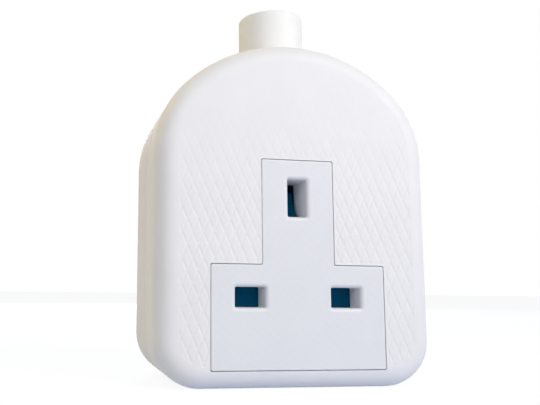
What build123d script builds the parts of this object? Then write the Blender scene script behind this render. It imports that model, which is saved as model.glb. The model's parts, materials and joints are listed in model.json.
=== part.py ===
from build123d import *
import math
import os

# Trailing socket for three flat pins. Millimetres.
# X runs across the socket face, the socket face looks along -Y and Z is up.
# The origin is the middle of the base that the socket stands on.
# Depths are measured straight back from the socket face.

# Pin layout of the standard plug that the socket takes
pin_spacing = 22.23
line_height = 19.9
flat_pin_aperture = (6.9, 4.5)
earth_pin_aperture = (4.4, 8.5)

# Housing
body_width = 64.4
body_depth = 35.0
body_height = 79.0
arch_rise = 26.9
shoulder_radius = 23.4
bottom_corner = 10.5
wall = 2.4
front_round = 4.7
rear_round = 3.5
inner_bevel = 0.8
parting_depth = 17.5
parting_bevel = 0.25
lip_inset = 1.3
lip_height = 1.5
fit_gap = 0.1
overrun = 1.0

# Inverted T window and the socket face that fills it
foot_width = 40.4
stem_width = 17.0
tee_bottom = 4.1
tee_shoulder = 27.2
tee_top = 50.9
tee_corner = 0.4
window_gap = 0.15
edge_softening = 0.15
face_thickness = 3.0
flange_thickness = 1.2
flange_overhang = 1.1
skirt_wall = 1.4
aperture_round = 0.9
aperture_corner = 0.35
collar_wall = 1.3

# Shutter behind the socket face
shutter_depth = 6.0
shutter_thickness = 2.8
shutter_gap = 0.3
shutter_travel = 6.6
wedge_depth = 5.0
lobe_margin = 0.45
bar_side_gap = 1.4
arm_width = 7.0
tongue_gap = 0.25
ramp_run = 3.7
ramp_crest = 0.8
tongue_thickness = 2.3
tongue_root = 3.2
guide_rib = 1.2
guide_rib_depth = 3.0
guide_rib_length = 8.5

# Return spring under the shutter
spring_radius = 1.55
spring_wire = 0.3
spring_turns = 6
spring_wire_sides = 6
spigot_radius = 1.0
spigot_length = 2.2

# Contact carrier behind the shutter
carrier_wall = 1.6
carrier_top_room = 3.0
stem_step = 3.8
module_room = 0.2
slot_margin = 0.25
ear_radius = 2.9
ear_rise = 15.4
ear_thickness = 3.0
rail_width = 1.2

# Brass contacts and terminals
strip_thickness = 0.8
strip_width = 6.0
grip_opening = 3.4
grip_depth = 15.6
flare_depth = 13.6
flare_opening = 6.2
root_opening = 6.4
web_overlap = 1.5
earth_web_overlap = 2.5
earth_grip_margin = 0.5
terminal_size = 7.0
terminal_height = 8.0
wire_hole_radius = 1.8
rivet_radius = 1.2
rivet_head_radius = 1.9
rivet_head_height = 0.6
earth_terminal_rise = 12.7
terminal_gap = 0.2
terminal_screw_room = 2.6

# Screws: shank radius, head radius, head height
terminal_screw = (1.45, 2.6, 1.9)
carrier_screw = (1.2, 2.4, 1.7)
clamp_screw = (1.45, 2.7, 2.0)
cover_screw = (1.5, 2.8, 2.0)
slot_width = 0.8
slot_depth = 0.8
thread_gap = 0.05
hole_gap = 0.25
carrier_screw_bite = 5.3

# Cover screws, their pillars and brass inserts
lower_pillar_rise = 9.0
upper_pillar_room = 9.4
upper_pillar_rise = 9.0
pillar_radius = 3.6
rear_pillar_radius = 4.3
counterbore_depth = 5.0
nut_length = 7.5
nut_radius = 2.25
nut_recess = 0.5
screw_tip_margin = 1.5

# Cable sleeve and cord clamp
sleeve_radius = 8.1
sleeve_bore = 4.2
sleeve_reach = 11.9
sleeve_root = 8.0
sleeve_bevel = 0.3
sleeve_flange = 1.8
sleeve_flange_drop = 6.5
sleeve_flange_thickness = 2.0
housing_wall = 2.2
clamp_drop = 12.8
clamp_band = 6.6
clamp_half_width = 12.5
clamp_seat_depth = 19.0
clamp_bar_thickness = 3.2
clamp_screw_reach = 8.7
clamp_arch_radius = 8.0
clamp_arch_depth = 1.4
clamp_bite_depth = 9.0
channel_radius = 4.5

# Divider between the live and neutral terminals
divider_thickness = 1.6
divider_bottom = 7.0

# Derived places
pin_offset = pin_spacing / 2
earth_height = line_height + pin_spacing
spring_line = body_height - arch_rise
shoulder_centre = body_width / 2 - shoulder_radius
crown_drop = (shoulder_centre**2 - (arch_rise - shoulder_radius) ** 2) / (2 * (arch_rise - shoulder_radius))
crown_radius = arch_rise + crown_drop
shoulder_angle = math.degrees(math.atan2(crown_drop, shoulder_centre))
flange_back = wall + flange_thickness
flat_collar_depth = shutter_depth - shutter_gap
ramp_bottom = earth_height - earth_pin_aperture[1] / 2
ramp_top = ramp_bottom + shutter_travel - ramp_crest
ramp_depth = wedge_depth + ramp_run
tongue_back = ramp_depth + tongue_thickness
carrier_front = tongue_back + shutter_gap
earth_collar_depth = ramp_depth - shutter_gap
rear_wall_depth = body_depth - wall
terminal_stack = terminal_screw[2] + terminal_size + strip_thickness
foot_back = rear_wall_depth - terminal_screw_room - terminal_stack
stem_back = foot_back + stem_step
lobe_top = line_height + flat_pin_aperture[1] / 2 + lobe_margin
lobe_bottom = line_height - flat_pin_aperture[1] / 2 - lobe_margin
bar_half_width = foot_width / 2 - window_gap - skirt_wall - bar_side_gap
shutter_back = shutter_depth + shutter_thickness
tongue_half_width = earth_pin_aperture[0] / 2 - tongue_gap
flat_pocket_width = strip_width + 2 * hole_gap
flat_pocket_rise = root_opening + 2 * strip_thickness + 2 * hole_gap
arm_top = ramp_bottom - collar_wall - shutter_gap
spring_depth = shutter_depth + shutter_thickness / 2
spring_seat = tee_bottom + window_gap + skirt_wall
module_side = (foot_width / 2 + body_width / 2 - wall) / 2
ear_height = tee_bottom + ear_rise
lower_pillar = (module_side, lower_pillar_rise)
upper_pillar = (body_width / 2 - upper_pillar_room, spring_line + upper_pillar_rise)
earth_terminal_height = earth_height + earth_terminal_rise
sleeve_hole = sleeve_radius + fit_gap
sleeve_top = body_height + sleeve_reach
sleeve_bottom = body_height - sleeve_root
sleeve_flange_radius = sleeve_radius + sleeve_flange
sleeve_flange_bottom = body_height - sleeve_flange_drop
housing_half_width = sleeve_flange_radius + housing_wall
clamp_height = body_height - clamp_drop
carrier_top = clamp_height - clamp_band / 2 - carrier_top_room
cover_screw_seat = body_depth - counterbore_depth
nut_front = parting_depth - nut_recess - nut_length
clamp_bar_back = clamp_seat_depth + clamp_bar_thickness


def slab(profile, near, far):
    """Front-view profile carried from one depth to another."""
    plane = Plane.XZ.offset(body_depth / 2 - near)
    return extrude(plane * profile, amount=near - far)


def block(x_span, depth_span, z_span):
    """Box between two places across, two depths and two heights."""
    across = x_span[1] - x_span[0]
    middle = Pos((x_span[0] + x_span[1]) / 2, (z_span[0] + z_span[1]) / 2)
    return slab(middle * Rectangle(across, z_span[1] - z_span[0]), *depth_span)


def rod(place, radius, near, far):
    """Round bar that points straight back from the socket face."""
    return slab(Pos(*place) * Circle(radius), near, far)


def post(x, depth, radius, bottom, top):
    """Round bar that stands upright."""
    middle = Pos(x, depth - body_depth / 2, (bottom + top) / 2)
    return middle * Cylinder(radius, top - bottom)


def both_sides(place):
    """The place and its mirror image about the middle of the socket."""
    return [place, (-place[0], place[1])]


def front_edges(solid):
    return solid.edges().group_by(Axis.Y)[0]


def back_edges(solid):
    return solid.edges().group_by(Axis.Y)[-1]


def body_outline(inset=0.0):
    """Arch of three tangent arcs on top, straight sides and rounded lower corners."""
    half = body_width / 2 - inset
    shoulder = shoulder_radius - inset
    crown = crown_radius - inset
    right_centre = (shoulder_centre, spring_line)
    left_centre = (-shoulder_centre, spring_line)
    crown_centre = (0, body_height - crown_radius)
    outline = CenterArc(right_centre, shoulder, 0, shoulder_angle)
    outline += CenterArc(crown_centre, crown, shoulder_angle, 180 - 2 * shoulder_angle)
    outline += CenterArc(left_centre, shoulder, 180 - shoulder_angle, shoulder_angle)
    outline += Polyline((-half, spring_line), (-half, inset), (half, inset), (half, spring_line))
    face = make_face(outline)
    return fillet(face.vertices().group_by(Axis.Y)[0], bottom_corner - inset)


def tee_outline(grow=0.0):
    """Inverted T of the window, with its edges moved outwards by grow."""
    foot_rise = tee_shoulder - tee_bottom + 2 * grow
    stem_rise = tee_top - tee_bottom + 2 * grow
    foot = Pos(0, (tee_shoulder + tee_bottom) / 2) * Rectangle(foot_width + 2 * grow, foot_rise)
    stem = Pos(0, (tee_top + tee_bottom) / 2) * Rectangle(stem_width + 2 * grow, stem_rise)
    tee = foot + stem
    return fillet(tee.vertices(), tee_corner)


def flat_aperture(grow=0.0):
    width, height = flat_pin_aperture
    return RectangleRounded(width + 2 * grow, height + 2 * grow, aperture_corner)


def earth_aperture(grow=0.0):
    width, height = earth_pin_aperture
    return RectangleRounded(width + 2 * grow, height + 2 * grow, aperture_corner)


def aperture_list():
    """Each pin aperture's outline, place and the depth of its collar."""
    flats = [(flat_aperture, place, flat_collar_depth) for place in both_sides((pin_offset, line_height))]
    return flats + [(earth_aperture, (0, earth_height), earth_collar_depth)]


def pillar_places():
    return both_sides(lower_pillar) + both_sides(upper_pillar)


def ear_places():
    return both_sides((module_side, ear_height))


def clamp_screw_places():
    return both_sides((clamp_screw_reach, clamp_height))


def screw(place, kind, tip, seat):
    """Slotted screw driven from behind, with its shank from tip to seat depth."""
    shank_radius, head_radius, head_height = kind
    shank = rod(place, shank_radius, tip, seat)
    head = rod(place, head_radius, seat, seat + head_height)
    head = chamfer(back_edges(head), head_height / 4)
    top = seat + head_height
    half = slot_width / 2
    z_span = (place[1] - head_radius, place[1] + head_radius)
    slot = block((place[0] - half, place[0] + half), (top - slot_depth, top), z_span)
    return shank + head - slot


def sleeve_housing(hollow, near, far):
    """Moulded collar inside the arch that traps the flange of the cable sleeve."""
    half = housing_half_width
    collar = hollow & block((-half, half), (near, far), (sleeve_bottom, body_height))
    groove_bottom = sleeve_flange_bottom - fit_gap
    groove_top = sleeve_flange_bottom + sleeve_flange_thickness + fit_gap
    groove = post(0, parting_depth, sleeve_flange_radius + fit_gap, groove_bottom, groove_top)
    return collar - groove


def sleeve_passage():
    return post(0, parting_depth, sleeve_hole, sleeve_bottom - overrun, body_height + overrun)


def front_cover():
    """Moulded front shell with the T window, screw pillars and the cord saddle."""
    shell = slab(body_outline(), 0, parting_depth)
    shell = fillet(front_edges(shell), front_round)
    shell = chamfer(back_edges(shell), parting_bevel)
    hollow = slab(body_outline(wall), wall, parting_depth)
    hollow = chamfer(front_edges(hollow), inner_bevel)
    shell -= hollow
    rebate = lip_inset - fit_gap
    shell -= slab(body_outline(rebate), parting_depth - lip_height - fit_gap, parting_depth)
    shell -= slab(tee_outline(), -overrun, wall)
    shell += sleeve_housing(hollow, wall, parting_depth)
    for place in pillar_places():
        shell += rod(place, pillar_radius, wall, parting_depth)
        shell -= rod(place, nut_radius + thread_gap, nut_front, parting_depth)
        shell -= rod(place, cover_screw[0] + hole_gap, nut_front - 2 * screw_tip_margin, nut_front)
    for place in ear_places():
        shell += rod(place, ear_radius, wall, carrier_front)
        pilot = carrier_screw[0] + thread_gap
        shell -= rod(place, pilot, carrier_front - carrier_screw_bite - screw_tip_margin, carrier_front)
    shell -= slab(tee_outline(flange_overhang - window_gap + fit_gap), wall, carrier_front)
    shell -= carrier_outline(module_room, carrier_front, parting_depth)
    shell += cord_saddle()
    return shell - sleeve_passage()


def cord_saddle():
    """Yoke under the clamp bar, with a round channel for the cord."""
    half = clamp_half_width
    z_span = (clamp_height - clamp_band / 2, clamp_height + clamp_band / 2)
    saddle = block((-half, half), (wall, clamp_seat_depth), z_span)
    saddle -= post(0, parting_depth, channel_radius, *z_span)
    saddle -= block((-channel_radius, channel_radius), (parting_depth, clamp_seat_depth), z_span)
    for place in clamp_screw_places():
        bottom = clamp_seat_depth - clamp_bite_depth - screw_tip_margin
        saddle -= rod(place, clamp_screw[0] + thread_gap, bottom, clamp_seat_depth)
    return saddle


def rear_cover():
    """Moulded rear shell with counterbored screw holes, locating lip and divider."""
    shell = slab(body_outline(), parting_depth, body_depth)
    shell = fillet(back_edges(shell), rear_round)
    shell = chamfer(front_edges(shell), parting_bevel)
    hollow = slab(body_outline(wall), parting_depth, rear_wall_depth)
    hollow = chamfer(back_edges(hollow), inner_bevel)
    shell -= hollow
    shell += sleeve_housing(hollow, parting_depth, rear_wall_depth)
    lip_top = parting_depth - lip_height
    lip = slab(body_outline(lip_inset), lip_top, parting_depth)
    lip -= slab(body_outline(wall), lip_top, parting_depth)
    shell += lip
    for place in pillar_places():
        shell += rod(place, rear_pillar_radius, parting_depth, rear_wall_depth) & slab(
            body_outline(wall / 2), parting_depth, rear_wall_depth
        )
        shell -= rod(place, cover_screw[0] + hole_gap, parting_depth, cover_screw_seat)
        shell -= rod(place, cover_screw[1] + hole_gap, cover_screw_seat, body_depth)
    shell -= carrier_outline(module_room, parting_depth, foot_back + shutter_gap)
    half = divider_thickness / 2
    divider_top = tee_shoulder - window_gap
    shell += block((-half, half), (foot_back + shutter_gap, rear_wall_depth), (divider_bottom, divider_top))
    return shell - sleeve_passage()


def socket_insert():
    """Inverted T socket face with rounded aperture mouths, collars and a skirt behind."""
    outline = tee_outline(-window_gap)
    face = slab(outline, 0, face_thickness)
    face = fillet(front_edges(face), edge_softening)
    for outline_of, place, _ in aperture_list():
        face -= slab(Pos(*place) * outline_of(), 0, face_thickness)
    mouths = face.faces().sort_by(Axis.Y)[0].inner_wires()
    face = fillet([edge for mouth in mouths for edge in mouth.edges()], aperture_round)
    face += slab(tee_outline(flange_overhang - window_gap), wall, flange_back)
    skirt = slab(outline, wall, carrier_front)
    skirt -= slab(tee_outline(-window_gap - skirt_wall), face_thickness, carrier_front)
    face += skirt
    for outline_of, place, collar_depth in aperture_list():
        face += slab(Pos(*place) * outline_of(collar_wall), wall, collar_depth)
    face -= wedge_way()
    for outline_of, place, collar_depth in aperture_list():
        face -= slab(Pos(*place) * outline_of(), 0, collar_depth)
    face += guide_ribs()
    seat = spring_seat
    face += post(0, spring_depth, spigot_radius, seat, seat + spigot_length)
    return face


def wedge_way():
    """Room below the earth collar for the wedge of the shutter to slide down."""
    half = earth_pin_aperture[0] / 2
    bottom = ramp_bottom - collar_wall
    front = wedge_depth - shutter_gap
    return block((-half, half), (front, carrier_front), (bottom, ramp_bottom + collar_wall))


def guide_ribs():
    """Two ribs behind the socket face that keep the arm of the shutter upright."""
    ribs = []
    top = arm_top - shutter_gap
    inner = arm_width / 2 + shutter_gap
    for side in (-1, 1):
        x_span = sorted((side * inner, side * (inner + guide_rib)))
        depth_span = (face_thickness, face_thickness + guide_rib_depth + shutter_thickness)
        ribs.append(block(x_span, depth_span, (top - guide_rib_length, top)))
    return ribs


def shutter():
    """Sliding shutter: two lobes for the flat pins, an arm and a wedge for the earth pin."""
    half = bar_half_width
    bar = block((-half, half), (shutter_depth, shutter_back), (lobe_bottom, lobe_top))
    bar = fillet(bar.edges().filter_by(Axis.Y), lobe_margin)
    arm = block((-arm_width / 2, arm_width / 2), (shutter_depth, shutter_back), (lobe_top, arm_top))
    toe = wedge_depth - body_depth / 2
    crest = ramp_depth - body_depth / 2
    back = tongue_back - body_depth / 2
    arm_front = shutter_depth - body_depth / 2
    profile = TangentArc((crest, ramp_top), (toe, ramp_bottom), tangent=(0, -1))
    profile += Polyline(
        (toe, ramp_bottom),
        (toe, arm_top),
        (arm_front, arm_top),
        (arm_front, arm_top - tongue_root),
        (back, arm_top - tongue_root),
        (back, ramp_top + ramp_crest),
        (crest, ramp_top + ramp_crest),
        (crest, ramp_top),
    )
    wedge = extrude(Plane.YZ * make_face(profile), amount=tongue_half_width, both=True)
    spigot = post(0, spring_depth, spigot_radius, lobe_bottom - spigot_length, lobe_bottom)
    return bar + arm + wedge + spigot


def shutter_spring():
    """Compression spring between the skirt and the shutter."""
    bottom = spring_seat + spring_wire
    height = lobe_bottom - spring_wire - bottom
    coil = Helix(pitch=height / spring_turns, height=height, radius=spring_radius)
    start = Plane(origin=coil @ 0, z_dir=coil % 0)
    wire = sweep(start * RegularPolygon(spring_wire, spring_wire_sides), path=coil)
    return Pos(0, spring_depth - body_depth / 2, bottom) * wire


def carrier_outline(grow, near, far):
    """Plain T-shaped block that the carrier fills, with its edges moved outwards by grow."""
    foot = foot_width / 2 - window_gap + grow
    stem = stem_width / 2 - window_gap + grow
    bottom = tee_bottom + window_gap - grow
    shoulder = tee_shoulder - window_gap + grow
    solid = block((-foot, foot), (near, far), (bottom, shoulder))
    return solid + block((-stem, stem), (near, far), (bottom, carrier_top + grow))


def contact_carrier():
    """Moulded block with a pocket and pin slot for each contact and two fixing ears."""
    stem = stem_width / 2 - window_gap
    shoulder = tee_shoulder - window_gap
    carrier = carrier_outline(0, carrier_front, foot_back)
    carrier += block((-stem, stem), (foot_back, stem_back), (shoulder, carrier_top))
    for place in ear_places():
        x_span = sorted((0, place[0]))
        z_span = (place[1] - ear_radius, place[1] + ear_radius)
        carrier += block(x_span, (carrier_front, carrier_front + ear_thickness), z_span)
        carrier += rod(place, ear_radius, carrier_front, carrier_front + ear_thickness)
        carrier -= rod(place, carrier_screw[0] + hole_gap, carrier_front, carrier_front + ear_thickness)
    pocket_front = carrier_front + carrier_wall
    flat_pocket = Rectangle(flat_pocket_width, flat_pocket_rise)
    for place in both_sides((pin_offset, line_height)):
        carrier -= slab(Pos(*place) * flat_aperture(slot_margin), carrier_front, pocket_front)
        carrier -= slab(Pos(*place) * flat_pocket, pocket_front, foot_back)
    earth_place = (0, earth_height)
    carrier -= slab(Pos(*earth_place) * earth_aperture(slot_margin), carrier_front, pocket_front)
    earth_pocket = Rectangle(flat_pocket_rise, flat_pocket_width + 2 * earth_grip_margin)
    carrier -= slab(Pos(*earth_place) * earth_pocket, pocket_front, stem_back)
    for core in carrier_cores():
        carrier -= core
    carrier -= terminal_pocket()
    return carrier + shutter_rails()


def carrier_cores():
    """Hollows moulded into the back of the carrier's foot to keep its walls even."""
    front = carrier_front + carrier_wall
    bottom = tee_bottom + window_gap + carrier_wall
    middle = pin_offset - flat_pocket_width / 2 - carrier_wall
    lower_top = line_height - flat_pocket_rise / 2 - carrier_wall
    outer = foot_width / 2 - window_gap - carrier_wall
    cores = [block((-middle, middle), (front, foot_back), (bottom, tee_shoulder - window_gap - carrier_wall))]
    for side in (-1, 1):
        x_span = sorted((side * (middle + carrier_wall), side * outer))
        cores.append(block(x_span, (front, foot_back), (bottom, lower_top)))
    return cores


def terminal_pocket():
    """Pocket for the earth terminal, open at the top for its wire."""
    half = terminal_size / 2 + terminal_gap
    bottom = earth_terminal_height - terminal_height / 2 - terminal_gap
    return block((-half, half), (stem_back - terminal_size - terminal_gap, stem_back), (bottom, carrier_top))


def shutter_rails():
    """Upright rails on the front of the carrier that the shutter bar slides on."""
    rails = []
    front = shutter_back + shutter_gap
    z_span = (spring_seat + overrun, tee_shoulder - window_gap - skirt_wall)
    inner = pin_offset - flat_pin_aperture[0] / 2 - slot_margin - rail_width
    outer = pin_offset + flat_pin_aperture[0] / 2 + slot_margin
    for start in (inner, outer):
        for side in (-1, 1):
            x_span = sorted((side * start, side * (start + rail_width)))
            rails.append(block(x_span, (front, carrier_front), z_span))
    return rails


def clip_leaf(web_depth):
    """Side view of one spring leaf: root at the web, pinched grip and flared mouth."""
    half = strip_thickness / 2
    base = body_depth / 2
    path = Polyline(
        (web_depth - base, root_opening / 2 + half),
        (grip_depth - base, grip_opening / 2 + half),
        (flare_depth - base, flare_opening / 2 + half),
    )
    return path


def clip(web_depth, web_spans, vertical):
    """Two spring leaves on a flat web; vertical leaves grip an upright pin."""
    leaf = trace(clip_leaf(web_depth), strip_thickness)
    half = strip_width / 2
    upper = extrude(Plane.YZ * leaf, amount=half, both=True)
    leaves = upper + mirror(upper, Plane.XY)
    if vertical:
        leaves = leaves.rotate(Axis.Y, 90)
    web = block(web_spans[0], (web_depth, web_depth + strip_thickness), web_spans[1])
    return leaves, web


def flat_contact(side):
    """Clip for a flat pin, seated on the back of the carrier."""
    half_web = strip_width / 2 + web_overlap
    place = (side * pin_offset, line_height)
    half_rise = root_opening / 2 + strip_thickness
    web_spans = ((place[0] - half_web, place[0] + half_web), (place[1] - half_rise, place[1] + half_rise))
    leaves, web = clip(foot_back, web_spans, vertical=False)
    web -= rod(place, rivet_radius + thread_gap, foot_back, foot_back + strip_thickness)
    return Pos(place[0], 0, place[1]) * leaves + web


def flat_terminal(side):
    """Pillar terminal riveted to the web of its contact."""
    place = (side * pin_offset, line_height)
    half = terminal_size / 2
    front = foot_back + strip_thickness
    z_span = (place[1] - terminal_height / 2, place[1] + terminal_height / 2)
    terminal = block((place[0] - half, place[0] + half), (front, front + terminal_size), z_span)
    terminal -= post(place[0], front + half, wire_hole_radius, *z_span)
    terminal -= rod(place, terminal_screw[0] + thread_gap, front + half, front + terminal_size)
    terminal += rod(place, rivet_radius, foot_back, front)
    return terminal + rod(place, rivet_head_radius, foot_back - rivet_head_height, foot_back)


def earth_contact():
    """Clip for the earth pin, with a tail that reaches up to its terminal."""
    half_web = terminal_size / 2
    bottom = earth_height - strip_width / 2 - earth_web_overlap
    web_spans = ((-half_web, half_web), (bottom, earth_terminal_height + terminal_height / 2))
    leaves, web = clip(stem_back, web_spans, vertical=True)
    place = (0, earth_terminal_height)
    web -= rod(place, terminal_screw[0] + hole_gap, stem_back, stem_back + strip_thickness)
    return Pos(0, 0, earth_height) * leaves + web


def earth_terminal():
    """Pillar terminal clamped to the front of the earth contact's tail."""
    half = terminal_size / 2
    front = stem_back - terminal_size
    z_span = (earth_terminal_height - terminal_height / 2, earth_terminal_height + terminal_height / 2)
    terminal = block((-half, half), (front, stem_back), z_span)
    terminal -= post(0, front + half, wire_hole_radius, *z_span)
    return terminal - rod((0, earth_terminal_height), terminal_screw[0] + thread_gap, front + half, stem_back)


def flat_terminal_screw(side):
    seat = foot_back + strip_thickness + terminal_size
    tip = seat - terminal_size / 2 + wire_hole_radius / 2
    return screw((side * pin_offset, line_height), terminal_screw, tip, seat)


def earth_terminal_screw():
    seat = stem_back + strip_thickness
    tip = stem_back - terminal_size / 2 + wire_hole_radius / 2
    return screw((0, earth_terminal_height), terminal_screw, tip, seat)


def carrier_screws():
    seat = carrier_front + ear_thickness
    return [screw(place, carrier_screw, carrier_front - carrier_screw_bite, seat) for place in ear_places()]


def cover_screws():
    tip = nut_front - screw_tip_margin
    return [screw(place, cover_screw, tip, cover_screw_seat) for place in pillar_places()]


def cover_nuts():
    """Brass inserts in the front pillars."""
    nuts = []
    for place in pillar_places():
        nut = rod(place, nut_radius, nut_front, nut_front + nut_length)
        nuts.append(nut - rod(place, cover_screw[0] + thread_gap, nut_front, nut_front + nut_length))
    return nuts


def cable_sleeve():
    """Round sleeve that the cord enters through, with a flange held in the covers."""
    sleeve = post(0, parting_depth, sleeve_radius, sleeve_bottom, sleeve_top)
    sleeve = chamfer(sleeve.edges().group_by(Axis.Z)[-1], sleeve_bevel)
    flange_top = sleeve_flange_bottom + sleeve_flange_thickness
    sleeve += post(0, parting_depth, sleeve_flange_radius, sleeve_flange_bottom, flange_top)
    return sleeve - post(0, parting_depth, sleeve_bore, sleeve_bottom, sleeve_top)


def cord_clamp_bar():
    """Bar that presses the cord into the saddle."""
    half = clamp_half_width
    z_span = (clamp_height - clamp_band / 2, clamp_height + clamp_band / 2)
    bar = block((-half, half), (clamp_seat_depth, clamp_bar_back), z_span)
    bar -= post(0, clamp_seat_depth + clamp_arch_depth - clamp_arch_radius, clamp_arch_radius, *z_span)
    for place in clamp_screw_places():
        bar -= rod(place, clamp_screw[0] + hole_gap, clamp_seat_depth, clamp_bar_back)
    return bar


def clamp_screw_at(place):
    return screw(place, clamp_screw, clamp_seat_depth - clamp_bite_depth, clamp_bar_back)


left_clamp_place, right_clamp_place = reversed(clamp_screw_places())
pieces = {
    "front_cover": front_cover(),
    "rear_cover": rear_cover(),
    "socket_insert": socket_insert(),
    "shutter": shutter(),
    "shutter_spring": shutter_spring(),
    "contact_carrier": contact_carrier(),
    "earth_contact": earth_contact(),
    "live_contact": flat_contact(1),
    "neutral_contact": flat_contact(-1),
    "earth_terminal": earth_terminal(),
    "live_terminal": flat_terminal(1),
    "neutral_terminal": flat_terminal(-1),
    "earth_terminal_screw": earth_terminal_screw(),
    "live_terminal_screw": flat_terminal_screw(1),
    "neutral_terminal_screw": flat_terminal_screw(-1),
    "carrier_screws": Compound(carrier_screws()),
    "cover_screws": Compound(cover_screws()),
    "cover_nuts": Compound(cover_nuts()),
    "cable_sleeve": cable_sleeve(),
    "cord_clamp_bar": cord_clamp_bar(),
    "clamp_screw_left": clamp_screw_at(left_clamp_place),
    "clamp_screw_right": clamp_screw_at(right_clamp_place),
}

os.makedirs("parts", exist_ok=True)
for node, solid in pieces.items():
    export_step(solid, f"parts/{node}.step")
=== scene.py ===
import bpy
import bmesh
import json
import math
from mathutils import Matrix, Vector
from mathutils.geometry import delaunay_2d_cdt


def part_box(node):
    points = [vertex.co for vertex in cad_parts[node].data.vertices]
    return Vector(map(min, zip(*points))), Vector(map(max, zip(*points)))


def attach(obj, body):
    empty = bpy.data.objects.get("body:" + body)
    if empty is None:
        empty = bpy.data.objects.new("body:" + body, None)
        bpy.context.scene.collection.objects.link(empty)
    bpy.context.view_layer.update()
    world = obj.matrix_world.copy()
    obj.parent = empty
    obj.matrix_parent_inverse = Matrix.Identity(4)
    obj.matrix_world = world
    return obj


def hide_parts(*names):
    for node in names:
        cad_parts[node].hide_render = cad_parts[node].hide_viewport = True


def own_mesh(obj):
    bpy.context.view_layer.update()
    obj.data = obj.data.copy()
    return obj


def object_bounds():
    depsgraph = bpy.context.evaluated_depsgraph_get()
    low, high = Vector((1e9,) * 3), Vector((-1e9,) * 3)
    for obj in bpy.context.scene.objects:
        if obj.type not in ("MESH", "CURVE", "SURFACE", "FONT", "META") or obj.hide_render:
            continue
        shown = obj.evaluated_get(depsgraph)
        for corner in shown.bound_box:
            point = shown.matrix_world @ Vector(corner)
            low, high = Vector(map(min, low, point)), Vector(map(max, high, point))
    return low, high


# Looks of a trailing socket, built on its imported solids.
# Metres, with the solids' own axes: the socket face looks along -Y and Z is up.

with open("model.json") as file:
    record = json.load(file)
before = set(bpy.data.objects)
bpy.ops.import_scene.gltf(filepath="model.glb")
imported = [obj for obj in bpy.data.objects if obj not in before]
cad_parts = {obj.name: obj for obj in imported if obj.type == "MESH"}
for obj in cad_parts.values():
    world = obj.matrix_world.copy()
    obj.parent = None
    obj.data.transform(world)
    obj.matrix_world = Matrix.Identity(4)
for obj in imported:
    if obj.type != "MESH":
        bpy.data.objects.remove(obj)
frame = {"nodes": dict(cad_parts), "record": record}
cad_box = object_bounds()
nodes = frame["nodes"]

MM = 0.001
HOUSING = "housing"

# Size of the photograph in pixels
PICTURE_WIDTH = 540
PICTURE_HEIGHT = 405

# Camera: place and sensor in millimetres, turns in degrees, focal length and centre in pixels
CAMERA_PLACE = (-53.54, -154.19, 21.61)
CAMERA_YAW = 9.35
CAMERA_PITCH = 7.61
CAMERA_ROLL = 0.61
CAMERA_FOCAL = 642.97
CAMERA_CENTRE = (162.0, 202.5)
SENSOR_WIDTH = 36.0
# Nearest distance in metres that the camera draws
CAMERA_NEAR = 0.01

# Diamond pattern of the front cover: repeat across and up, groove half width and depth
COVER_PATTERN = (2.42 * MM, 5.66 * MM, 0.42 * MM, 0.08 * MM)
# Finer diamonds of the socket face
FACE_PATTERN = (2.2 * MM, 2.2 * MM, 0.26 * MM, 0.01 * MM)
# Heights between which the grooves get shallower, and the share of their depth left above
FADE_START = 38 * MM
FADE_END = 60 * MM
FADE_REST = 0.08
# Plain border round a patterned field, and the run over which its grooves start
PATTERN_BORDER = 0.30 * MM
PATTERN_START = 0.22 * MM
# Least cosine used at the corners of an outline that is moved inwards, so sharp ones stay near
LEAST_LEAN = 0.4
# Distances within which points are one, on a piece and while it is cut into triangles
SAME_POINT = 0.002 * MM
SAME_CUT = SAME_POINT / 20
SHARP_ANGLE = math.radians(34)

# Return spring: wire radius, turns, sides of the wire and steps in a turn
SPRING_WIRE = 0.3 * MM
SPRING_TURNS = 6
WIRE_SIDES = 12
TURN_STEPS = 40

# Noise: the values that it mostly stays between, and its usual detail
NOISE_LOW = 0.33
NOISE_HIGH = 0.67
NOISE_DETAIL = 3.0

# Moulded plastic: size of its mottling, size of its patches of gloss and how far they change
# the roughness, and detail and strength of its grain
MOTTLE_SIZE = 9 * MM
PATCH_SIZE = 3 * MM
PATCH_SWING = 0.05
GRAIN_DETAIL = 2.0
GRAIN_STRENGTH = 0.5

# Metal: sizes of its lines and of its clouds, share of the colour left in the darkest clouds,
# how far the lines lower and raise the roughness, and their strength and depth
LINE_SIZE = 0.3 * MM
CLOUD_SIZE = 2.5 * MM
CLOUD_SHADE = 0.86
LINE_SMOOTHER = 0.07
LINE_ROUGHER = 0.1
LINE_STRENGTH = 0.25
LINE_DEPTH = 0.01 * MM

# Floor: half its width, colour, roughness, and share and strength of the white that is seen
FLOOR_HALF = 3.0
FLOOR_COLOUR = (0.62, 0.69, 0.88, 1)
FLOOR_ROUGHNESS = 0.9
FLOOR_SHARE = 0.8
FLOOR_WHITE = 1.12

# World: colour and strength of the light from all sides, and the white that is seen
ROOM_COLOUR = (1.0, 0.985, 0.965, 1)
ROOM_STRENGTH = 0.25
WHITE = (1, 1, 1, 1)

# Soft boxes: name, place and width in metres, power in watts and colour
LAMPS = (
    ("key", (0.44, -0.46, 0.28), 0.2, 1.3, (1.0, 1.0, 1.0)),
    ("high", (0.18, -0.36, 0.36), 0.2, 0.68, (1.0, 0.985, 0.97)),
    ("fill", (-0.2, -0.5, 0.28), 0.2, 0.71, (1.0, 0.98, 0.9)),
    ("side", (0.8, -0.1, 0.3), 0.5, 0.12, (0.75, 0.85, 1.0)),
    ("back", (-0.6, 0.4, 0.55), 0.5, 1.9, (1.0, 0.72, 0.1)),
    ("rear", (0.12, 0.7, 0.12), 0.3, 1.9, (0.9, 0.95, 1.0)),
)


# Objects

def add_object(name, data):
    """New object of the scene that holds the data."""
    made = bpy.data.objects.new(name, data)
    bpy.context.scene.collection.objects.link(made)
    return made


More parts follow.
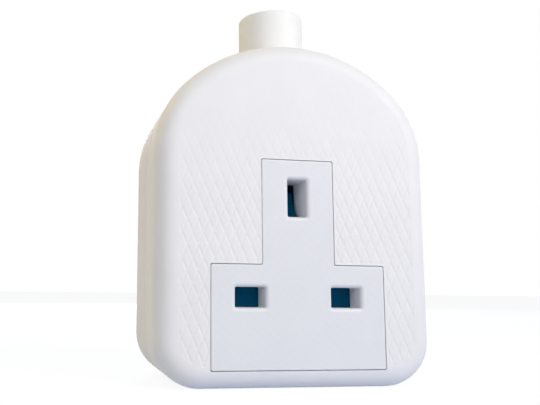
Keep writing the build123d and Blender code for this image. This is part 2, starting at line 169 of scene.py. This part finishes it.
def finished_mesh(name, mesh):
    """Turns a bmesh into mesh data and frees it."""
    data = bpy.data.meshes.new(name)
    mesh.to_mesh(data)
    mesh.free()
    return data


# Camera

def add_camera():
    yaw = math.radians(CAMERA_YAW)
    pitch = math.radians(CAMERA_PITCH)
    roll = math.radians(CAMERA_ROLL)
    forward = Vector((math.sin(yaw) * math.cos(pitch), math.cos(yaw) * math.cos(pitch), math.sin(pitch)))
    level = Vector((math.cos(yaw), -math.sin(yaw), 0))
    above = level.cross(forward)
    right = level * math.cos(roll) + above * math.sin(roll)
    up = above * math.cos(roll) - level * math.sin(roll)
    data = bpy.data.cameras.new("camera")
    data.sensor_width = SENSOR_WIDTH
    data.lens = SENSOR_WIDTH * CAMERA_FOCAL / PICTURE_WIDTH
    data.shift_x = (PICTURE_WIDTH / 2 - CAMERA_CENTRE[0]) / PICTURE_WIDTH
    data.shift_y = (CAMERA_CENTRE[1] - PICTURE_HEIGHT / 2) / PICTURE_WIDTH
    data.clip_start = CAMERA_NEAR
    camera = add_object("camera", data)
    turn = Matrix((right, up, -forward)).transposed().to_4x4()
    camera.matrix_world = Matrix.Translation(Vector(CAMERA_PLACE) * MM) @ turn
    bpy.context.scene.camera = camera


# Node helpers

def new_material(name):
    """Material with a Principled shader; returns it with its tree, shader and object coordinates."""
    material = bpy.data.materials.new(name)
    material.use_nodes = True
    tree = material.node_tree
    shader = tree.nodes["Principled BSDF"]
    place = tree.nodes.new("ShaderNodeTexCoord").outputs["Object"]
    return material, tree, shader, place


def noise(tree, place, size, detail=NOISE_DETAIL):
    """Noise whose features are about size metres across."""
    node = tree.nodes.new("ShaderNodeTexNoise")
    node.inputs["Scale"].default_value = 1 / size
    node.inputs["Detail"].default_value = detail
    tree.links.new(place, node.inputs["Vector"])
    return node.outputs["Fac"]


def spread(tree, value, low, high):
    """Maps the usual values of noise to low and high."""
    node = tree.nodes.new("ShaderNodeMapRange")
    node.inputs["From Min"].default_value = NOISE_LOW
    node.inputs["From Max"].default_value = NOISE_HIGH
    node.inputs["To Min"].default_value = low
    node.inputs["To Max"].default_value = high
    tree.links.new(value, node.inputs["Value"])
    return node.outputs["Result"]


def tint(tree, value, first, second):
    """Colour between first and second, chosen by noise."""
    node = tree.nodes.new("ShaderNodeValToRGB")
    node.color_ramp.elements[0].position = NOISE_LOW
    node.color_ramp.elements[1].position = NOISE_HIGH
    node.color_ramp.elements[0].color = (*first, 1)
    node.color_ramp.elements[1].color = (*second, 1)
    tree.links.new(value, node.inputs["Fac"])
    return node.outputs["Color"]


def bump(tree, shader, height, strength, distance):
    node = tree.nodes.new("ShaderNodeBump")
    node.inputs["Strength"].default_value = strength
    node.inputs["Distance"].default_value = distance
    tree.links.new(height, node.inputs["Height"])
    tree.links.new(node.outputs["Normal"], shader.inputs["Normal"])


def scaled(colour, factor):
    return tuple(channel * factor for channel in colour)


# Materials

def moulded_plastic(name, colour, roughness, grain, grain_depth, mottle=0.02, gloss=0.5):
    """Moulded plastic: soft mottling, uneven gloss and a fine grain from the tool."""
    material, tree, shader, place = new_material(name)
    cloudy = noise(tree, place, MOTTLE_SIZE)
    tree.links.new(tint(tree, cloudy, scaled(colour, 1 - mottle), colour), shader.inputs["Base Color"])
    patchy = spread(tree, noise(tree, place, PATCH_SIZE), roughness - PATCH_SWING, roughness + PATCH_SWING)
    tree.links.new(patchy, shader.inputs["Roughness"])
    shader.inputs["Specular IOR Level"].default_value = gloss
    bump(tree, shader, noise(tree, place, grain, GRAIN_DETAIL), GRAIN_STRENGTH, grain_depth)
    return material


def metal(name, colour, roughness, stretch):
    """Metal with fine drawn or turned lines along the stretched axis."""
    material, tree, shader, place = new_material(name)
    mapping = tree.nodes.new("ShaderNodeMapping")
    mapping.inputs["Scale"].default_value = stretch
    tree.links.new(place, mapping.inputs["Vector"])
    lines = noise(tree, mapping.outputs["Vector"], LINE_SIZE)
    cloudy = noise(tree, place, CLOUD_SIZE)
    tree.links.new(tint(tree, cloudy, scaled(colour, CLOUD_SHADE), colour), shader.inputs["Base Color"])
    worn = spread(tree, lines, roughness - LINE_SMOOTHER, roughness + LINE_ROUGHER)
    tree.links.new(worn, shader.inputs["Roughness"])
    shader.inputs["Metallic"].default_value = 1.0
    bump(tree, shader, lines, LINE_STRENGTH, LINE_DEPTH)
    return material


def housing_white():
    return moulded_plastic("housing_white", (0.84, 0.83, 0.845), roughness=0.5,
                           grain=0.22 * MM, grain_depth=0.012 * MM)


def face_white():
    return moulded_plastic("face_white", (0.79, 0.795, 0.83), roughness=0.38,
                           grain=0.2 * MM, grain_depth=0.01 * MM)


def sleeve_white():
    return moulded_plastic("sleeve_white", (0.93, 0.92, 0.91), roughness=0.5,
                           grain=0.3 * MM, grain_depth=0.008 * MM, gloss=0.25)


def shutter_blue():
    return moulded_plastic("shutter_blue", (0.0, 0.085, 0.19), roughness=0.45,
                           grain=0.25 * MM, grain_depth=0.008 * MM, mottle=0.1, gloss=0.05)


def carrier_blue():
    return moulded_plastic("carrier_blue", (0.004, 0.05, 0.095), roughness=0.55,
                           grain=0.25 * MM, grain_depth=0.012 * MM, mottle=0.08, gloss=0.1)


def brass():
    return metal("brass", (0.72, 0.52, 0.24), roughness=0.3, stretch=(1, 1, 0.08))


def steel():
    return metal("steel", (0.6, 0.6, 0.62), roughness=0.28, stretch=(0.08, 1, 1))


def dress_nodes():
    """Gives every carried-over node the material of its slot, and returns the materials."""
    made = {
        "housing_white": housing_white(),
        "face_white": face_white(),
        "sleeve_white": sleeve_white(),
        "shutter_blue": shutter_blue(),
        "carrier_blue": carrier_blue(),
        "brass": brass(),
        "steel": steel(),
    }
    for row in frame["record"]["subparts"]:
        piece = nodes[row["node"]]
        material = made[row["material_slot"]]
        if not piece.material_slots:
            piece.data.materials.append(material)
        for held in piece.material_slots:
            held.material = material
    return made


# Moulded diamond patterns

def flat_front(mesh):
    """Depth of the foremost plane of a bmesh, and the faces that lie in it."""
    front = min(vertex.co.y for vertex in mesh.verts)
    return front, [f for f in mesh.faces if all(abs(v.co.y - front) < SAME_POINT for v in f.verts)]


def boundary_loops(faces):
    """Closed loops of vertices round a patch of faces."""
    patch = set(faces)
    following = {}
    for face in faces:
        for loop in face.loops:
            if sum(1 for other in loop.edge.link_faces if other in patch) == 1:
                following[loop.vert] = loop.link_loop_next.vert
    loops = []
    while following:
        start, vertex = following.popitem()
        ring = [start]
        while vertex is not start:
            ring.append(vertex)
            vertex = following.pop(vertex)
        loops.append(ring)
    return loops


def moved_inwards(ring, distance):
    """The ring's points moved to its left, which is into the patch, by distance."""
    moved = []
    count = len(ring)
    for index in range(count):
        before = (ring[index] - ring[index - 1]).normalized()
        after = (ring[(index + 1) % count] - ring[index]).normalized()
        left = Vector((-before.y - after.y, before.x + after.x))
        left.normalize()
        lean = max(LEAST_LEAN, left.dot(Vector((-before.y, before.x))))
        moved.append(ring[index] + left * (distance / lean))
    return moved


def inside(point, rings):
    """Whether a point is inside the outline and outside its holes."""
    crossings = 0
    for ring in rings:
        last = ring[-1]
        for this in ring:
            if (this.y > point.y) != (last.y > point.y):
                reach = last.x + (point.y - last.y) * (this.x - last.x) / (this.y - last.y)
                if reach > point.x:
                    crossings += 1
            last = this
    return crossings % 2 == 1


def line_families(repeat_across, repeat_up):
    """Direction along, direction across and spacing of both families of slanting lines."""
    for lean in (1, -1):
        along = Vector((lean * repeat_across, repeat_up)).normalized()
        across = Vector((along.y, -along.x))
        yield along, across, repeat_across * abs(across.x)


def lattice_lines(low, high, repeat_across, repeat_up, half_width):
    """Both families of slanting lines over a box: each groove's middle and its two rims."""
    ends = []
    for along, across, spacing in line_families(repeat_across, repeat_up):
        corners = [Vector((x, z)).dot(across) for x in (low.x, high.x) for z in (low.y, high.y)]
        stretch = [Vector((x, z)).dot(along) for x in (low.x, high.x) for z in (low.y, high.y)]
        first = math.ceil(min(corners) / spacing) - 1
        last = math.floor(max(corners) / spacing) + 1
        for step in range(first, last + 1):
            for offset in (-half_width, 0, half_width):
                base = across * (step * spacing + offset)
                ends.append((base + along * min(stretch), base + along * max(stretch)))
    return ends


def groove_depth_at(point, repeat_across, repeat_up, half_width, depth):
    """Depth of the grooves at a point of the lattice."""
    deepest = 0
    for along, across, spacing in line_families(repeat_across, repeat_up):
        place = point.dot(across) / spacing
        away = abs(place - round(place)) * spacing
        deepest = max(deepest, depth * max(0, 1 - away / half_width))
    return deepest


def fade(height):
    """Share of the full groove depth at a height."""
    climb = min(1, max(0, (height - FADE_START) / (FADE_END - FADE_START)))
    return 1 - (1 - FADE_REST) * climb


def closed_edges(ring, start):
    """Edges round a ring whose first point has the number start."""
    return [(start + i, start + (i + 1) % len(ring)) for i in range(len(ring))]


def triangulate(points, edges, rings):
    """Constrained triangles of the points and edges that lie inside the rings."""
    found, _, faces, *_ = delaunay_2d_cdt(points, edges, [], 0, SAME_CUT)
    kept = []
    for face in faces:
        middle = sum((found[i] for i in face), Vector((0, 0))) / len(face)
        if inside(middle, rings):
            kept.append(face)
    return found, kept


def patterned_field(rings, pattern):
    """The field's border, points and triangles, cut by the lattice, and its depth at each point."""
    border = [moved_inwards(ring, PATTERN_BORDER) for ring in rings]
    full = [moved_inwards(ring, PATTERN_BORDER + PATTERN_START) for ring in rings]
    # Points outside the gate stay level, so a groove starts between the border and full
    gate = [moved_inwards(ring, PATTERN_BORDER + PATTERN_START / 2) for ring in rings]
    points = []
    edges = []
    for ring in border + full:
        edges += closed_edges(ring, len(points))
        points += ring
    low = Vector((min(p.x for p in points), min(p.y for p in points)))
    high = Vector((max(p.x for p in points), max(p.y for p in points)))
    for start, end in lattice_lines(low, high, *pattern[:3]):
        edges.append((len(points), len(points) + 1))
        points += [start, end]
    found, faces = triangulate(points, edges, border)
    depths = [fade(p.y) * groove_depth_at(p, *pattern) if inside(p, gate) else 0 for p in found]
    return border, found, faces, depths


def border_strip(rings, border, found, faces):
    """Triangles of the plain strip between the patch's edge and its patterned field."""
    used = {}
    for a, b, c in faces:
        for pair in ((a, b), (b, c), (c, a)):
            key = tuple(sorted(pair))
            used[key] = used.get(key, 0) + 1
    rim = [pair for pair, count in used.items() if count == 1]
    order = sorted({i for pair in rim for i in pair})
    number = {old: new for new, old in enumerate(order)}
    points = [found[i] for i in order]
    edges = [(number[a], number[b]) for a, b in rim]
    for ring in rings:
        edges += closed_edges(ring, len(points))
        points += ring
    return triangulate(points, edges, rings + border)


def add_front(mesh, front, points, triangles, sinks, mark=None):
    """Adds triangles to the front of a bmesh, each point sunk by its depth, facing forwards."""
    corners = {}
    for triangle in triangles:
        for index in triangle:
            if index not in corners:
                point = points[index]
                corners[index] = mesh.verts.new((point.x, front + sinks[index], point.y))
        face = mesh.faces.new([corners[index] for index in triangle])
        face.normal_update()
        if face.normal.y > 0:
            face.normal_flip()
        if mark:
            face[mark] = 1


def patterned_copy(node, name, pattern, slot):
    """Copy of a node whose flat front carries the moulded diamonds."""
    mesh = bmesh.new()
    mesh.from_mesh(nodes[node].data)
    bmesh.ops.remove_doubles(mesh, verts=mesh.verts, dist=SAME_POINT)
    front, faces = flat_front(mesh)
    loops = boundary_loops(faces)
    rings = [[Vector((vertex.co.x, vertex.co.z)) for vertex in loop] for loop in loops]
    bmesh.ops.delete(mesh, geom=faces, context="FACES")
    border, found, field, depths = patterned_field(rings, pattern)
    strip_points, strip = border_strip(rings, border, found, field)
    cut = mesh.faces.layers.int.new("cut")
    add_front(mesh, front, found, field, depths, cut)
    add_front(mesh, front, strip_points, strip, [0] * len(strip_points))
    bmesh.ops.remove_doubles(mesh, verts=mesh.verts, dist=SAME_POINT)
    crisp = [face[cut] == 1 for face in mesh.faces]
    data = finished_mesh(name, mesh)
    # Marking the sharp edges smooths every face, so the field's facets are made flat after it
    data.set_sharp_from_angle(angle=SHARP_ANGLE)
    for polygon, flat in zip(data.polygons, crisp):
        polygon.use_smooth = not flat
    piece = add_object(name, data)
    piece.data.materials.append(materials[slot])
    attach(piece, HOUSING)
    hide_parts(node)


# Return spring of the shutter

def coil_rings(low, high):
    """Centre and two cross directions of the wire at each step of the coil."""
    middle = (low + high) / 2
    radius = (high.x - low.x) / 2 - SPRING_WIRE
    rise = high.z - low.z - 2 * SPRING_WIRE
    steps = SPRING_TURNS * TURN_STEPS
    for step in range(steps + 1):
        turn = 2 * math.pi * step / TURN_STEPS
        outward = Vector((math.cos(turn), math.sin(turn), 0))
        along = Vector((-outward.y * radius, outward.x * radius, rise / (2 * math.pi * SPRING_TURNS)))
        upward = outward.cross(along.normalized())
        height = low.z + SPRING_WIRE + rise * step / steps
        yield Vector((middle.x, middle.y, height)) + outward * radius, outward, upward


def coil_spring(node):
    """Round wire in place of the spring's solid."""
    low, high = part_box(node)
    mesh = bmesh.new()
    rings = []
    for centre, outward, upward in coil_rings(low, high):
        ring = []
        for side in range(WIRE_SIDES):
            angle = 2 * math.pi * side / WIRE_SIDES
            reach = outward * math.cos(angle) + upward * math.sin(angle)
            ring.append(mesh.verts.new(centre + reach * SPRING_WIRE))
        rings.append(ring)
    for first, second in zip(rings, rings[1:]):
        for side in range(WIRE_SIDES):
            after = (side + 1) % WIRE_SIDES
            mesh.faces.new((first[side], first[after], second[after], second[side])).smooth = True
    mesh.faces.new(rings[0])
    mesh.faces.new(rings[-1])
    bmesh.ops.recalc_face_normals(mesh, faces=mesh.faces)
    piece = add_object("shutter_spring_wire", finished_mesh("shutter_spring_wire", mesh))
    piece.data.materials.append(materials["steel"])
    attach(piece, HOUSING)
    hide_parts(node)
    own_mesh(piece)


# Floor, background and light

def calculate(tree, operation, first):
    """Math node with its first input linked; returns it."""
    node = tree.nodes.new("ShaderNodeMath")
    node.operation = operation
    tree.links.new(first, node.inputs[0])
    return node


def background_mix(tree, surface, share):
    """Mixer of a surface with the white that the camera, gloss and clear things see, in this share."""
    path = tree.nodes.new("ShaderNodeLightPath")
    either = calculate(tree, "MAXIMUM", path.outputs["Is Camera Ray"])
    tree.links.new(path.outputs["Is Transmission Ray"], either.inputs[1])
    seen = calculate(tree, "MAXIMUM", either.outputs[0])
    tree.links.new(path.outputs["Is Glossy Ray"], seen.inputs[1])
    part = calculate(tree, "MULTIPLY", seen.outputs[0])
    part.inputs[1].default_value = share
    mix = tree.nodes.new("ShaderNodeMixShader")
    tree.links.new(part.outputs[0], mix.inputs["Fac"])
    tree.links.new(surface, mix.inputs[1])
    return mix


def add_floor():
    mesh = bmesh.new()
    bmesh.ops.create_grid(mesh, x_segments=2, y_segments=2, size=FLOOR_HALF)
    data = finished_mesh("floor", mesh)
    floor = add_object("floor", data)
    material = bpy.data.materials.new("floor")
    material.use_nodes = True
    tree = material.node_tree
    shader = tree.nodes["Principled BSDF"]
    output = tree.nodes["Material Output"]
    shader.inputs["Base Color"].default_value = FLOOR_COLOUR
    shader.inputs["Roughness"].default_value = FLOOR_ROUGHNESS
    mix = background_mix(tree, shader.outputs["BSDF"], share=FLOOR_SHARE)
    glow = tree.nodes.new("ShaderNodeEmission")
    glow.inputs["Strength"].default_value = FLOOR_WHITE
    tree.links.new(glow.outputs["Emission"], mix.inputs[2])
    tree.links.new(mix.outputs["Shader"], output.inputs["Surface"])
    data.materials.append(material)


def add_world():
    world = bpy.data.worlds.new("studio")
    bpy.context.scene.world = world
    world.use_nodes = True
    tree = world.node_tree
    room = tree.nodes["Background"]
    room.inputs["Color"].default_value = ROOM_COLOUR
    room.inputs["Strength"].default_value = ROOM_STRENGTH
    output = tree.nodes["World Output"]
    mix = background_mix(tree, room.outputs["Background"], share=1.0)
    white = tree.nodes.new("ShaderNodeBackground")
    white.inputs["Color"].default_value = WHITE
    tree.links.new(white.outputs["Background"], mix.inputs[2])
    tree.links.new(mix.outputs["Shader"], output.inputs["Surface"])


def add_lamp(name, place, size, power, colour):
    """Square soft box, turned towards the middle of the socket."""
    data = bpy.data.lights.new(name, "AREA")
    data.shape = "SQUARE"
    data.size = size
    data.energy = power
    data.color = colour
    lamp = add_object(name, data)
    target = (Vector(cad_box[0]) + Vector(cad_box[1])) / 2
    lamp.location = place
    lamp.rotation_euler = (target - Vector(place)).to_track_quat("-Z", "Y").to_euler()


# Scene

bpy.context.scene.view_settings.view_transform = "Standard"
add_camera()
add_world()
add_floor()
for lamp in LAMPS:
    add_lamp(*lamp)
materials = dress_nodes()
patterned_copy("front_cover", "front_cover_moulding", COVER_PATTERN, "housing_white")
patterned_copy("socket_insert", "socket_insert_moulding", FACE_PATTERN, "face_white")
coil_spring("shutter_spring")

bpy.context.view_layer.update()
